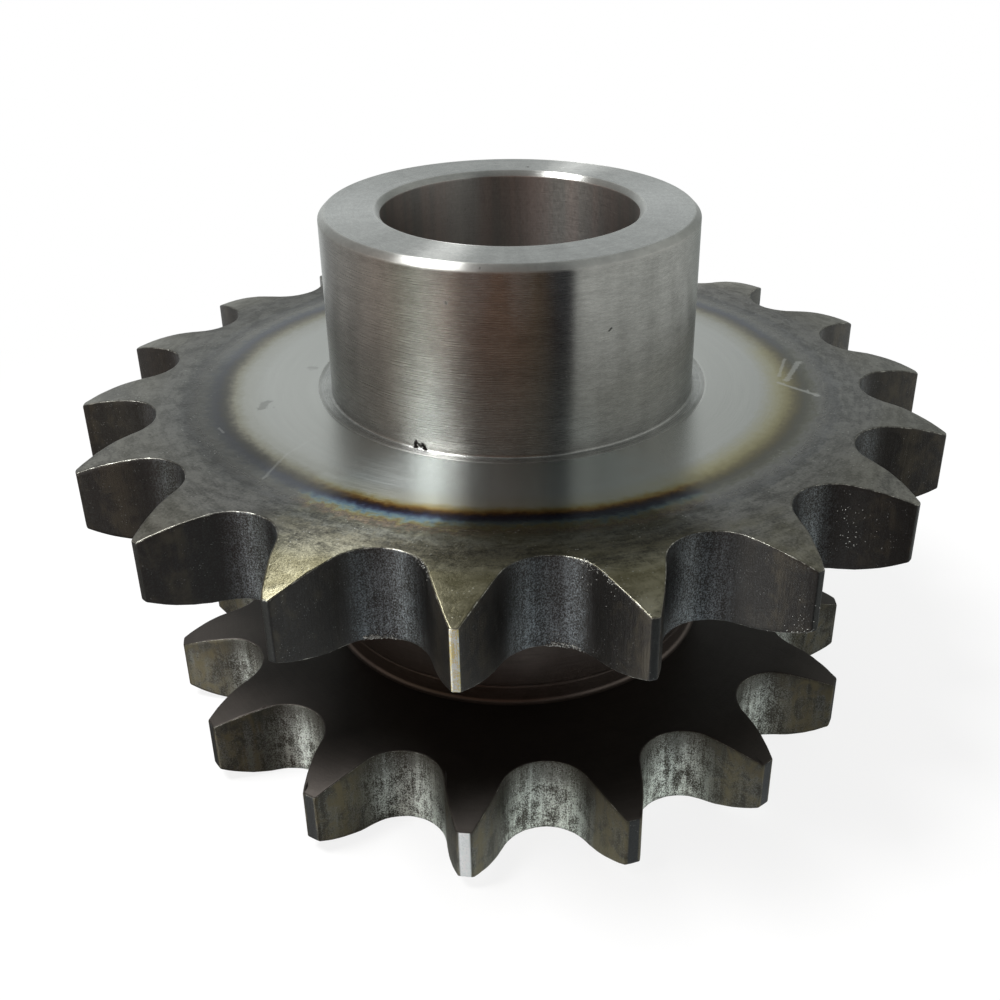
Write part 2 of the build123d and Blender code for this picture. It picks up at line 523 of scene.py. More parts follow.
# One ring's outline at each column: a seat for the roller, a convex flank, a rounded corner, the tip.
# Each stretch is an arc, so a point is its arc's centre plus a radius along the outline's own normal.
def toothOutline(column, wires, ring, steps):
    pitch, teeth = wires["pitch"], wires[ring + "Teeth"]
    seatHalf, flank = wires[ring + "SeatAngle"] / 2, wires[ring + "FlankRadius"]
    corner = wires["tipCorner"]
    toothHalf = math.pi / teeth
    seat = wires["rollerDiameter"] / 2 + wires["seatClearance"]
    centre = pitch / (mathNode("SINE", toothHalf) * 2)
    tip = pitch * (wires["tipShare"] + 1 / mathNode("TANGENT", toothHalf)) / 2
    side = math.pi - seatHalf
    reach = seat + flank
    flankX = centre + reach * mathNode("COSINE", side)
    flankY = reach * mathNode("SINE", side)
    spanSquared = flankX * flankX + flankY * flankY
    inner = flank - corner
    outer = tip - corner
    bend = mathNode("ARCCOSINE", (spanSquared + inner * inner - outer * outer)
                    / (mathNode("SQRT", spanSquared) * inner * 2))
    heading = mathNode("ARCTAN2", -flankY, -flankX) + bend
    cornerX = flankX + inner * mathNode("COSINE", heading)
    cornerY = flankY + inner * mathNode("SINE", heading)
    landStart = mathNode("ARCTAN2", cornerY, cornerX)

    half = float(sum(steps))
    local = mathNode("FLOORED_MODULO", column, 2 * half) - half
    along = mathNode("ABSOLUTE", local)
    hand = mathNode("SIGN", local)
    gap = mathNode("FLOOR", column / (2 * half)) + 0.5
    ends = [sum(steps[:count]) for count in range(1, 4)]
    parts = [mathNode("DIVIDE", along - start, count, clamp=True) for start, count in zip([0] + ends, steps)]
    normal = (parts[0] * -seatHalf + parts[1] * (heading + seatHalf)
              + parts[2] * (landStart - heading) + parts[3] * (toothHalf - landStart))
    inFlank, inCorner, onTip = [mathNode("GREATER_THAN", along, end + 0.001) for end in ends]
    middleX = pick(onTip, pick(inCorner, pick(inFlank, centre, flankX), cornerX), 0.0)
    middleY = pick(onTip, pick(inCorner, pick(inFlank, 0.0 * centre, flankY), cornerY), 0.0)
    radius = pick(onTip, pick(inCorner, pick(inFlank, -seat, flank), corner), tip)
    normalX = mathNode("COSINE", normal)
    normalY = mathNode("SINE", normal)
    pointX = middleX + radius * normalX
    pointY = (middleY + radius * normalY) * hand
    normalY = normalY * hand
    turn = wires[ring + "Start"] + gap * toothHalf * 2
    turnCos, turnSin = mathNode("COSINE", turn), mathNode("SINE", turn)
    return {
        "x": pointX * turnCos - pointY * turnSin,
        "y": pointX * turnSin + pointY * turnCos,
        "normalX": normalX * turnCos - normalY * turnSin,
        "normalY": normalX * turnSin + normalY * turnCos,
        "tip": tip,
        "along": local / half,
    }


# Named inputs of the sprocket's tree, with the sizes that they start from
def treeInputs(size):
    plain = ("pitch", "rollerDiameter", "seatClearance", "tipShare", "tipCorner", "upperTeeth",
             "upperFlankRadius", "upperBottom", "upperTop", "lowerTeeth", "lowerFlankRadius", "lowerTop",
             "reliefDepth", "reliefRadius", "wornLeast", "wornMost", "edgeSeed")
    values = {name: float(size[name]) for name in plain}
    values["upperSeatAngle"], values["lowerSeatAngle"] = [math.radians(size[ring + "SeatAngle"])
                                                          for ring in ("upper", "lower")]
    values["upperStart"] = -math.pi / 2
    values["lowerStart"] = -math.pi / 2 + math.radians(size["lowerTurn"])
    values["lowerShift"] = float(round(-size["lowerTurn"] * size["columns"] / 360))
    values["columns"] = size["columns"]
    return values


def buildSprocketTree(size, materials):
    tree, wires = newShapeTree("sprocketShape", "section", treeInputs(size), "sprocket")
    section = wires["section"]
    rowCount = addNode(tree, "GeometryNodeAttributeDomainSize", {"Geometry": section}, component="MESH")
    columns = wires["columns"]
    grid = addNode(tree, "GeometryNodeMeshGrid", {"Vertices X": columns + 1, "Vertices Y": rowCount + 1})
    index = addNode(tree, "GeometryNodeInputIndex")
    column = mathNode("FLOOR", (index + 0.5) / (rowCount + 1))
    row = mathNode("FLOORED_MODULO", index - column * (rowCount + 1), rowCount)

    def rowValue(name, place=row):
        inputs = {"Geometry": section, "Value": stored(tree, name), "Index": place}
        return addNode(tree, "GeometryNodeSampleIndex", inputs, data_type="FLOAT", domain="POINT")

    rowPlace = addNode(tree, "GeometryNodeInputPosition")
    place = addNode(tree, "GeometryNodeSampleIndex", {"Geometry": section, "Value": rowPlace, "Index": row},
                    data_type="FLOAT_VECTOR", domain="POINT")
    baseRadius, _, height = split(place)
    ring, blend, inset, level, lift = [rowValue(name) for name in ("ring", "blend", "inset", "level", "lift")]

    upper = toothOutline(column, wires, "upper", size["upperSteps"])
    lower = toothOutline(column + wires["lowerShift"], wires, "lower", size["lowerSteps"])
    isLower = mathNode("GREATER_THAN", ring, 1.5)
    isRing = mathNode("GREATER_THAN", ring, 0.5)
    outline = {name: pick(isLower, upper[name], lower[name]) for name in upper}

    # edges worn unevenly
    spot = joined(outline["x"], outline["y"], level * 9 + wires["edgeSeed"])
    wear = mathNode("MULTIPLY", noise(spot, 0.8, 3.0, 0.65) - 0.3, 2.5, clamp=True)
    wear = pick(wear, wires["wornLeast"], wires["wornMost"])
    inset = inset * wear
    lift = lift * wear

    around = wires["upperStart"] + column * (2 * math.pi) / columns
    roundX = baseRadius * mathNode("COSINE", around)
    roundY = baseRadius * mathNode("SINE", around)
    x = pick(blend, roundX, outline["x"] - outline["normalX"] * inset)
    y = pick(blend, roundY, outline["y"] - outline["normalY"] * inset)
    radius = mathNode("SQRT", x * x + y * y)

    # the rings' faces fall away towards the tips
    depth, arc = wires["reliefDepth"], wires["reliefRadius"]
    length = mathNode("SQRT", depth * (arc * 2 - depth))
    past = mathNode("MAXIMUM", radius - (outline["tip"] - length), 0.0)
    drop = arc - mathNode("SQRT", mathNode("MAXIMUM", arc * arc - past * past, 0.0))
    ringBottom = wires["upperBottom"] * (1 - isLower) + drop
    ringTop = pick(isLower, wires["upperTop"], wires["lowerTop"]) - drop
    ringHeight = ringBottom + (ringTop - ringBottom) * level + lift
    z = pick(isRing, height, ringHeight)

    metres = scaledBy(joined(x, y, z), 0.001)
    shaped = addNode(tree, "GeometryNodeSetPosition", {"Geometry": grid, "Position": metres})

    faceRow = mathNode("FLOORED_MODULO", index, rowCount)
    for name, value, domain in (("edge", rowValue("edge"), "POINT"),
                                ("gap", mathNode("ABSOLUTE", outline["along"]) * isRing, "POINT"),
                                ("level", level, "POINT"),
                                ("finish", rowValue("finish", faceRow), "FACE")):
        inputs = {"Geometry": shaped, "Name": name, "Value": value}
        shaped = addNode(tree, "GeometryNodeStoreNamedAttribute", inputs, data_type="FLOAT", domain=domain)
    outward = addNode(tree, "GeometryNodeFlipFaces", {"Mesh": shaped})
    merging = {"Geometry": outward, "Distance": size["mergeWithin"]}
    closed = addNode(tree, "GeometryNodeMergeByDistance", merging)
    smooth = addNode(tree, "GeometryNodeSetShadeSmooth", {"Geometry": closed})
    made = addNode(tree, "GeometryNodeRealizeInstances", {"Geometry": smooth})
    for number, name in enumerate(finishes):
        chosen = mathNode("COMPARE", stored(tree, "finish"), float(number), 0.5)
        made = addNode(tree, "GeometryNodeSetMaterial", {"Geometry": made, "Selection": chosen,
                                                         "Material": materials[name]})
    result = tree.nodes.new("NodeGroupOutput")
    feed(tree, result.inputs["sprocket"], made)
    return tree


def makeSprocket(size, materials):
    section = addSection(size)
    mesh = madeMesh(section, buildSprocketTree(size, materials), treeInputs(size), "chainSprocket")
    # new_from_object leaves an empty first slot
    slots = list(mesh.materials)
    used = [material for material in slots if material]
    places = [used.index(slots[polygon.material_index]) for polygon in mesh.polygons]
    mesh.materials.clear()
    for material in used:
        mesh.materials.append(material)
    mesh.polygons.foreach_set("material_index", places)
    piece = bpy.data.objects.new("chainSprocket", mesh)
    scene.collection.objects.link(piece)
    bpy.data.objects.remove(section)
    print("sprocket has", len(mesh.polygons), "faces and", len(mesh.vertices), "points")
    return piece


# Materials

# what the steel looks like: radii and heights in millimetres, around in degrees from the front tooth
# to the right; a pair is where something starts and where it is all there, two pairs also where it ends
finishLook = {
    "bareSteel": (0.38, 0.385, 0.37),
    "tintWobble": 0.35,
    # temper colours by radius: where the ring was heated most, and where less
    "hotTints": [
        (47.0, (0.40, 0.43, 0.42)), (50.5, (0.38, 0.39, 0.34)), (51.3, (0.33, 0.32, 0.22)),
        (52.0, (0.27, 0.215, 0.09)), (52.7, (0.155, 0.09, 0.024)), (53.2, (0.06, 0.032, 0.014)),
        (53.7, (0.026, 0.018, 0.018)), (54.3, (0.022, 0.022, 0.045)), (54.9, (0.055, 0.08, 0.14)),
        (55.7, (0.16, 0.26, 0.32)), (56.4, (0.23, 0.28, 0.22)), (57.2, (0.23, 0.20, 0.095)),
        (58.1, (0.145, 0.115, 0.09)), (59.4, (0.090, 0.090, 0.072)), (61.2, (0.078, 0.081, 0.074)),
        (64.0, (0.084, 0.080, 0.060)), (70.0, (0.155, 0.150, 0.112)), (82.0, (0.25, 0.24, 0.18)),
    ],
    "mildTints": [
        (46.0, (0.38, 0.385, 0.365)), (49.7, (0.32, 0.32, 0.29)), (51.5, (0.225, 0.215, 0.165)),
        (52.3, (0.158, 0.147, 0.115)), (53.0, (0.113, 0.106, 0.085)), (53.8, (0.085, 0.083, 0.080)),
        (54.5, (0.076, 0.080, 0.094)), (55.3, (0.084, 0.089, 0.102)), (56.0, (0.100, 0.105, 0.106)),
        (56.8, (0.118, 0.119, 0.114)), (57.6, (0.120, 0.120, 0.111)), (58.5, (0.102, 0.102, 0.098)),
        (60.0, (0.092, 0.094, 0.094)), (61.8, (0.116, 0.116, 0.108)), (64.0, (0.104, 0.103, 0.097)),
        (82.0, (0.19, 0.186, 0.165)),
    ],
    "hotAround": ((-34, -22), (29, 41)),
    "scaledRadius": (53.5, 57.5),
    "soot": 0.82,               # how much darker the scale is right of the front tooth
    "sootAround": (-10, 1),
    "sootRadius": ((53.5, 55), (66, 72)),
    "sootPaler": (57, 62),
    "burnt": 0.6,               # and the temper ring left of it
    "burntAround": ((-105, -75), (-48, -32)),
    "burntRadius": ((51, 53.5), (59, 64)),
    "olive": (1.0, 0.93, 0.62),  # the right of the disc turned brassy
    "oliveAround": ((26, 46), (95, 125)),
    "oliveRadius": ((46, 51), (55, 57.5)),
    "dullRadius": (56.5, 61),
    "brassRadius": (62, 68),
    "brass": (0.105, 0.094, 0.045),
    "discSpeck": (0.36, 0.37, 0.35),
    "discEdge": (0.045, 0.043, 0.038),
    "upperCut": {
        "dark": (0.031, 0.029, 0.027),
        # light: the pale grain's colour, and the colour of the painted sheen in the seats
        "light": (0.31, 0.352, 0.375),
        "lightAt": (0.41, 0.69),
        "outside": 0.06,
        "seatAcross": (0.12, 0.33),
        "streaky": 0.3,
        "cloudy": 0.14,
        "topShade": 0.0,
        "stain": (0.078, 0.068, 0.050),
        "stained": 0.6,
        "land": (0.70, 0.74, 0.73),
        "landStain": (0.60, 0.52, 0.25),
        "landAcross": (0.78, 0.83),
        "roughness": 0.33,
    },
    "lowerCut": {
        "dark": (0.060, 0.057, 0.047),
        # light: the pale grain's colour, and the colour of the painted sheen in the seats
        "light": (0.80, 0.86, 0.81),
        "lightAt": (0.42, 0.60),
        "outside": 0.17,
        "seatAcross": (0.18, 0.48),
        "streaky": 0.42,
        "cloudy": 0.34,
        # painted shade at the top of the flanks, under the upper ring
        "topShade": 0.75,
        "stain": (0.15, 0.13, 0.075),
        "stained": 0.8,
        "land": (0.95, 0.99, 1.0),
        "landStain": (0.85, 0.90, 0.90),
        "landAcross": (0.86, 0.91),
        "roughness": 0.42,
    },
    # marks: from, to, width, how strong
    "hubChips": [
        ((-13.3, -31.1, 63.9), (-13.1, -31.1, 64.7), 0.75, 1.0),
        ((-12.8, -31.2, 64.7), (-12.2, -31.5, 64.3), 0.5, 0.9),
        ((-11.9, -31.6, 64.6), (-11.3, -31.8, 63.9), 0.75, 1.0),
        ((-6.8, -33.1, 90.35), (-6.8, -33.1, 90.5), 0.4, 0.6),
        ((18.7, -28.15, 84.6), (19.0, -27.95, 84.9), 0.42, 0.6),
        ((0.6, 26.4, 96.8), (0.9, 26.4, 96.8), 0.6, 0.8),
        ((7.1, 26.3, 96.8), (7.3, 26.2, 96.8), 0.5, 0.6),
        ((-1.3, -33.4, 96.2), (-1.3, -33.3, 96.35), 0.3, 0.5),
    ],
    "discSpots": [
        ((-42.9, -15.8, 64.1), (-43.3, -18.6, 64.1), 1.5, 0.4),
        ((-38.5, 0.5, 64.1), (-38.0, 0.2, 64.1), 1.5, 0.25),
    ],
    "discScratches": [
        ((-30.8, -28.9, 64.1), (-34.0, -35.8, 64.1), 0.42, 0.25),
        ((-34.0, -35.8, 64.1), (-35.6, -44.6, 64.1), 0.5, 0.2),
        ((-26.0, -42.0, 64.1), (-23.0, -44.0, 64.1), 0.9, 0.2),
        ((56.7, -5.0, 64.1), (50.0, 0.3, 64.1), 0.8, 0.5),
        ((51.6, 1.5, 64.1), (54.8, 10.6, 64.1), 1.2, 0.45),
        ((50.4, 3.5, 64.1), (52.2, 11.8, 64.1), 0.6, 0.4),
        ((-48.3, -27.0, 64.1), (-47.0, -28.6, 64.1), 0.4, 0.2),
    ],
    "spotDark": (0.07, 0.068, 0.06),
    "scratchBright": (0.44, 0.44, 0.42),
    "chipDark": (0.008, 0.007, 0.006),
    # colour of worn turned edges and of the painted highlight along them
    "hubRimWornAndSheen": (0.66, 0.66, 0.63),
    "hubEnd": (96.2, 96.7),
    "rubbedAround": (6, 16),
    "toothSpeck": (0.42, 0.44, 0.43),
    "wornEdge": (0.46, 0.46, 0.41),
    "scaleDark": (0.055, 0.048, 0.043),
    "lowerDark": (0.040, 0.035, 0.031),
    # the neck is bare turned steel; its dark brown is painted shade and a painted brownish reflection
    "neckShadeBrown": (0.102, 0.084, 0.074),
    "boreGrey": (0.33, 0.325, 0.31),
    "boreBrown": (0.36, 0.32, 0.30),
    "beadDark": (0.06, 0.058, 0.052),
    "beadLight": (0.38, 0.39, 0.37),
    "reliefDistance": 0.0001,   # metres
}


# a group's sockets are values, apart from these
socketKinds = {"tint": "NodeSocketColor", "millimetres": "NodeSocketVector", "from": "NodeSocketVector",
               "to": "NodeSocketVector"}


def newGroup(name, given, made):
    tree = bpy.data.node_groups.new(name, "ShaderNodeTree")
    for side, names in (("INPUT", given), ("OUTPUT", made)):
        for socketName in names:
            kind = socketKinds.get(socketName, "NodeSocketFloat")
            socket = tree.interface.new_socket(socketName, in_out=side, socket_type=kind)
            if side == "INPUT":
                socket.default_value = given[socketName]
    inputs = tree.nodes.new("NodeGroupInput")
    return tree, {output.name: Wire(tree, output) for output in inputs.outputs if output.name}


def closeGroup(tree, values):
    output = tree.nodes.new("NodeGroupOutput")
    for name, value in values.items():
        feed(tree, output.inputs[name], value)


def useGroup(tree, group, inputs=None):
    node = tree.nodes.new("ShaderNodeGroup")
    node.node_tree = bpy.data.node_groups[group]
    for name, value in (inputs or {}).items():
        feed(tree, node.inputs[name], value)
    return {output.name: Wire(tree, output) for output in node.outputs}


def painted(tree, name):
    return addNode(tree, "ShaderNodeAttribute", output=2, attribute_name=name)


# where a point lies on the turned body: radius and height in millimetres, the way round, and a length
# that changes along every turned face, flat or upright
def makePlaceGroup():
    tree, _ = newGroup("placeOnBody", {}, ["radius", "height", "wayX", "wayY", "along", "millimetres"])
    place = scaledBy(addNode(tree, "ShaderNodeTexCoord", output=3), 1000.0)
    x, y, z = split(place)
    radius = mathNode("MAXIMUM", mathNode("SQRT", x * x + y * y), 0.001)
    closeGroup(tree, {"radius": radius, "height": z, "wayX": x / radius, "wayY": y / radius,
                      "along": radius + z * 1.37, "millimetres": place})


# noise drawn out round the body: how often it changes on the way round, and what it changes along
def wrapped(place, often, along, detail, roughness):
    return noise(joined(place["wayX"] * often, place["wayY"] * often, along), 1.0, detail, roughness)


# fine lines that a lathe leaves, running round the body
def makeTurningGroup():
    tree, given = newGroup("turningLines", {"fineness": 6.0, "arcLength": 5.0}, ["lines", "broad"])
    place = useGroup(tree, "placeOnBody")
    along = place["along"] * given["fineness"]
    closeGroup(tree, {"lines": wrapped(place, given["arcLength"], along, 3.0, 0.7),
                      "broad": wrapped(place, 1.5, along * 0.16, 2.0, 0.5)})


# forge scale and dirt: cloudy patches and small bright grains
def makeMottleGroup():
    tree, given = newGroup("scaleMottle", {"size": 1.0, "stretch": 1.0}, ["clouds", "grain", "specks"])
    place = useGroup(tree, "placeOnBody")["millimetres"]
    spot = scaledBy(vectorNode("MULTIPLY", place, joined(1.0, 1.0, given["stretch"])), given["size"])
    dots = addNode(tree, "ShaderNodeTexVoronoi", {"Vector": spot, "Scale": 1.15, "Randomness": 1.0})
    cluster = rise(noise(spot, 0.22, 2.0, 0.6), 0.5, 0.68)
    closeGroup(tree, {"clouds": noise(spot, 0.16, 4.0, 0.62, 0.6), "grain": noise(spot, 1.9, 3.0, 0.7),
                      "specks": (1 - rise(dots, 0.08, 0.26)) * cluster})


# bare metal along the edges, broken up, and what is left of the edges beside it
def makeWearGroup():
    tree, given = newGroup("edgeWear", {"amount": 1.0}, ["worn", "edge"])
    edge = painted(tree, "edge")
    patches = noise(useGroup(tree, "placeOnBody")["millimetres"], 0.5, 5.0, 0.85)
    worn = rise(edge * (patches * 2.6 - 0.6) * given["amount"], 0.45, 0.9)
    closeGroup(tree, {"worn": worn, "edge": edge * (1 - worn)})


# chips, pits and scratches: a stroke between two places, in millimetres
def makeStrokeGroup():
    tree, given = newGroup("strokeMark", {"from": (0, 0, 0), "to": (0, 0, 0), "width": 1.0}, ["mark"])
    place = useGroup(tree, "placeOnBody")["millimetres"]
    away = vectorNode("SUBTRACT", place, given["from"])
    stroke = vectorNode("SUBTRACT", given["to"], given["from"])
    length = vectorNode("DOT_PRODUCT", stroke, stroke)
    share = mathNode("DIVIDE", vectorNode("DOT_PRODUCT", away, stroke), length + 0.0001, clamp=True)
    distance = vectorNode("LENGTH", vectorNode("SUBTRACT", away, scaledBy(stroke, share)))
    ragged = 1 + (noise(place, 1.1, 4.0, 0.75) - 0.5) * 4.0
    closeGroup(tree, {"mark": 1 - rise(distance / given["width"] * ragged, 0.3, 0.6)})


# all of one material's strokes as one mask
def strokes(tree, marks):
    total = None
    for start, end, width, depth in marks:
        mark = useGroup(tree, "strokeMark", {"from": start, "to": end, "width": width})["mark"] * depth
        total = mathNode("MAXIMUM", total, mark) if total else mark
    return total


# degrees round from the front tooth, to the right
def wayRound(place):
    return mathNode("ARCTAN2", place["wayX"], -place["wayY"]) * (180 / math.pi)


# temper colours and scale on the large ring's face
def makeTintGroup(look):
    tree, given = newGroup("heatTint", {"wobble": 1.0}, ["tint", "scaled", "heat"])
    place = useGroup(tree, "placeOnBody")
    spot = place["millimetres"]
    radius = place["radius"] + (noise(spot, 0.05) - 0.5) * given["wobble"] * 5.0
    ragged = 6.0 + rise(place["radius"], 55, 57) * 12.0
    radius = radius + (noise(spot, 0.8, 4.0, 0.7) - 0.5) * given["wobble"] * ragged
    around = wayRound(place) + (noise(spot, 0.12, 3.0, 0.6) - 0.5) * 24
    heat = span(around, look["hotAround"])
    tints = []
    for name in ("mildTints", "hotTints"):
        first, last = look[name][0][0], look[name][-1][0]
        stops = [((at - first) / (last - first), colour) for at, colour in look[name]]
        tints.append(ramp((radius - first) / (last - first), stops))
    soot = heat * rise(around, *look["sootAround"]) * span(radius, look["sootRadius"])
    soot = soot * (1 - rise(radius, *look["sootPaler"]) * 0.45)
    burnt = span(around, look["burntAround"]) * span(radius, look["burntRadius"])
    tint = shaded(mixColour(heat, *tints), (1 - soot * look["soot"]) * (1 - burnt * look["burnt"]))
    olive = span(around, look["oliveAround"]) * span(radius, look["oliveRadius"])
    tint = mixColour(olive, tint, look["olive"], "MULTIPLY")
    closeGroup(tree, {"tint": tint, "scaled": rise(radius, *look["scaledRadius"]), "heat": heat})


# what every steel ends with
def finishSteel(tree, shader, look, colour, metallic, roughness, height, strength):
    relief = addNode(tree, "ShaderNodeBump", {"Height": height, "Strength": strength,
                                              "Distance": look["reliefDistance"]})
    values = {"Base Color": colour, "Metallic": metallic, "Roughness": roughness, "Normal": relief}
    for name, value in values.items():
        feed(tree, shader.inputs[name], value)


def turnHighlights(tree, shader, amount):
    shader.inputs["Anisotropic"].default_value = amount
    shader.inputs["Anisotropic Rotation"].default_value = 0.25
    tangent = tree.nodes.new("ShaderNodeTangent")
    tangent.direction_type = "RADIAL"
    tangent.axis = "Z"
    tree.links.new(tangent.outputs[0], shader.inputs["Tangent"])


# hub, its end and chamfers: bright turned steel
def turnedSteel(look):
    material, tree, shader = newMaterial("turnedSteel")
    place = useGroup(tree, "placeOnBody")
    edge = painted(tree, "edge")
    turning = useGroup(tree, "turningLines", {"fineness": 5.0, "arcLength": 4.0})
    scratches = useGroup(tree, "turningLines", {"fineness": 2.2, "arcLength": 22.0})
    mottle = useGroup(tree, "scaleMottle", {"size": 1.4, "stretch": 2.0})
    wear = useGroup(tree, "edgeWear", {"amount": 0.9})
    bands = wrapped(place, 9.0, place["height"] * 0.02, 3.0, 0.6)
    shade = 0.65 + turning["lines"] * 0.18 + turning["broad"] * 0.16 + (mottle["grain"] - 0.5) * 0.36
    shade = shade + (rise(scratches["lines"], 0.42, 0.62) - 0.5) * 0.12
    shade = shade + (mottle["clouds"] - 0.5) * 0.4 + (bands - 0.5) * 0.35
    colour = shaded(look["bareSteel"], shade)
    # turned edges lighter: partly worn metal, partly a painted highlight along every rounded edge
    colour = mixColour(wear["worn"] * 0.3 + edge * 0.4, colour, look["hubRimWornAndSheen"])
    chips = strokes(tree, look["hubChips"])
    colour = mixColour(chips, colour, look["chipDark"])
    # the end face and the chamfers were cut finer than the hub's side
    onEnd = rise(place["height"], *look["hubEnd"])
    rough = (0.22 + turning["lines"] * 0.10) * (1 - onEnd * 0.1) * (1 + edge * 0.7) + chips * 0.6
    turnHighlights(tree, shader, 1.0)
    relief = turning["lines"] * 0.35 + mottle["grain"] * 0.2 - chips * 12
    finishSteel(tree, shader, look, colour, 1.0, rough, relief, 0.055)
    return material


def boreSteel(look):
    material, tree, shader = newMaterial("boreSteel")
    turning = useGroup(tree, "turningLines", {"fineness": 3.0, "arcLength": 5.0})
    mottle = useGroup(tree, "scaleMottle", {"size": 1.2, "stretch": 0.5})
    place = useGroup(tree, "placeOnBody")
    bands = wrapped(place, 5.0, place["height"] * 0.01, 3.0, 0.6)
    shade = 0.35 + turning["lines"] * 0.25 + mottle["grain"] * 0.45 + bands * 0.6
    shade = shade - rise(mottle["clouds"], 0.5, 0.7) * rise(mottle["grain"], 0.5, 0.7) * 0.4
    colour = shaded(mixColour(rise(bands, 0.4, 0.6), look["boreGrey"], look["boreBrown"]), shade)
    turnHighlights(tree, shader, 0.7)
    relief = turning["lines"] + mottle["grain"] * 0.6
    finishSteel(tree, shader, look, colour, 1.0, 0.34 + mottle["grain"] * 0.12, relief, 0.3)
    return material


# the large ring's face: bare by the hub, temper colours, then scale out to the teeth
def discSteel(look):
    material, tree, shader = newMaterial("discSteel")
    place = useGroup(tree, "placeOnBody")
    tint = useGroup(tree, "heatTint", {"wobble": look["tintWobble"]})
    turning = useGroup(tree, "turningLines", {"fineness": 4.0, "arcLength": 5.0})
    smears = useGroup(tree, "turningLines", {"fineness": 0.85, "arcLength": 16.0})
    mottle = useGroup(tree, "scaleMottle", {"size": 1.3})
    wear = useGroup(tree, "edgeWear", {"amount": 0.86})
    scaled, heat = tint["scaled"], tint["heat"]
    bareShade = 0.88 + turning["lines"] * 0.14 + turning["broad"] * 0.1
    patches = rise(mottle["clouds"] * 0.5 + smears["lines"] * 0.5, 0.40, 0.60)
    depth = 0.42 + heat * 0.15
    scaleShade = (1.1 - depth) + patches * depth * 1.35 + (mottle["grain"] - 0.5) * 1.7
    # the tempered ring is as smooth as the bare steel, the scale outside it isn't
    dull = rise(place["radius"], *look["dullRadius"])
    colour = shaded(tint["tint"], pick(dull, bareShade, scaleShade))
    brassy = rise(smears["broad"] + mottle["grain"] * 0.3, 0.46, 0.80) * scaled * (0.3 + heat * 0.7)
    brassy = brassy * (0.35 + rise(place["radius"], *look["brassRadius"]) * 0.65)
    colour = mixColour(brassy * 0.6, colour, look["brass"])
    colour = mixColour(mottle["specks"] * scaled * 0.6, colour, look["discSpeck"])
    colour = mixColour(wear["edge"] * scaled * 0.6, colour, look["discEdge"])
    colour = mixColour(wear["worn"] * 0.85, colour, look["wornEdge"])
    colour = mixColour(strokes(tree, look["discSpots"]), colour, look["spotDark"])
    colour = mixColour(strokes(tree, look["discScratches"]), colour, look["scratchBright"])
    rough = pick(dull, 0.19 + turning["lines"] * 0.09, 0.25 + mottle["grain"] * 0.2)
    turnHighlights(tree, shader, 0.95)
    relief = pick(scaled, turning["lines"] * 0.5, mottle["grain"] * 0.9 + patches + mottle["specks"])
    finishSteel(tree, shader, look, colour, 1.0 - scaled * 0.12, rough, relief, 0.25)
    return material


# flanks and tips: cut faces with a dark coat, grainy, with streaks along the cut and edges rubbed bright
def toothSteel(name, look, cut):
    material, tree, shader = newMaterial(name)
    place = useGroup(tree, "placeOnBody")
    across, level = painted(tree, "gap"), painted(tree, "level")
    mottle = useGroup(tree, "scaleMottle", {"size": 2.3, "stretch": 0.8})
    streaks = useGroup(tree, "scaleMottle", {"size": 0.9, "stretch": 0.06})
    swaths = useGroup(tree, "scaleMottle", {"size": 2.6, "stretch": 0.05})
    wear = useGroup(tree, "edgeWear", {"amount": 0.85})
    grain, clouds = mottle["grain"], mottle["clouds"]
    streaky = streaks["grain"] * 0.5 + swaths["clouds"] * 0.5
    light = pick(cut["streaky"], grain, streaky) + (clouds - 0.5) * cut["cloudy"]
    light = rise(light, *cut["lightAt"])
    # the rollers' seats are rubbed lighter and carry a painted sheen, brightest low down as painted light
    # from the floor
    seat = (1 - rise(across, *cut["seatAcross"])) * (1.1 - level * 0.5)
    light = light * pick(seat, cut["outside"], 1.0)
    # darker towards the top of the flanks: painted shade, which the small ring's teeth get under the upper
    # ring
    light = light * (1 - rise(level + (clouds - 0.5) * 1.2, 0.62, 1.0) * cut["topShade"])
    # the light colour is pale grain and streaks, and in the seats also a painted sheen
    colour = mixColour(light, cut["dark"], cut["light"])
    rust = rise(streaks["clouds"] * 0.5 + clouds * 0.5, 0.44, 0.62) * rise(across, 0.3, 0.55)
    colour = mixColour(rust * cut["stained"], colour, cut["stain"])
    # the front tooth's tip is rubbed, the others less
    rubbed = 1 - rise(mathNode("ABSOLUTE", wayRound(place)), *look["rubbedAround"]) * 0.95
    onLand = rise(across, *cut["landAcross"])
    blotch = rise(clouds * 0.4 + grain * 0.6, 0.47, 0.54) * rise(rubbed, 0.3, 0.9)
    land = shaded(mixColour(blotch, cut["land"], cut["landStain"]), (0.45 + grain * 1.2) * rubbed)
    colour = mixColour(onLand, colour, land)
    colour = mixColour(mottle["specks"] * 0.4, colour, look["toothSpeck"])
    colour = mixColour(wear["edge"] * (1 - onLand) * 0.6, colour, cut["dark"])
    colour = mixColour(wear["worn"] * 0.75, colour, look["wornEdge"])
    shader.inputs["Anisotropic"].default_value = 1.0
    feed(tree, shader.inputs["Tangent"], addNode(tree, "ShaderNodeCombineXYZ", {2: 1.0}))
    relief = grain * 1.2 + streaks["grain"] + mottle["specks"] * 1.5
    finishSteel(tree, shader, look, colour, 0.8 + light * 0.2, cut["roughness"] + grain * 0.12, relief, 0.4)
    return material


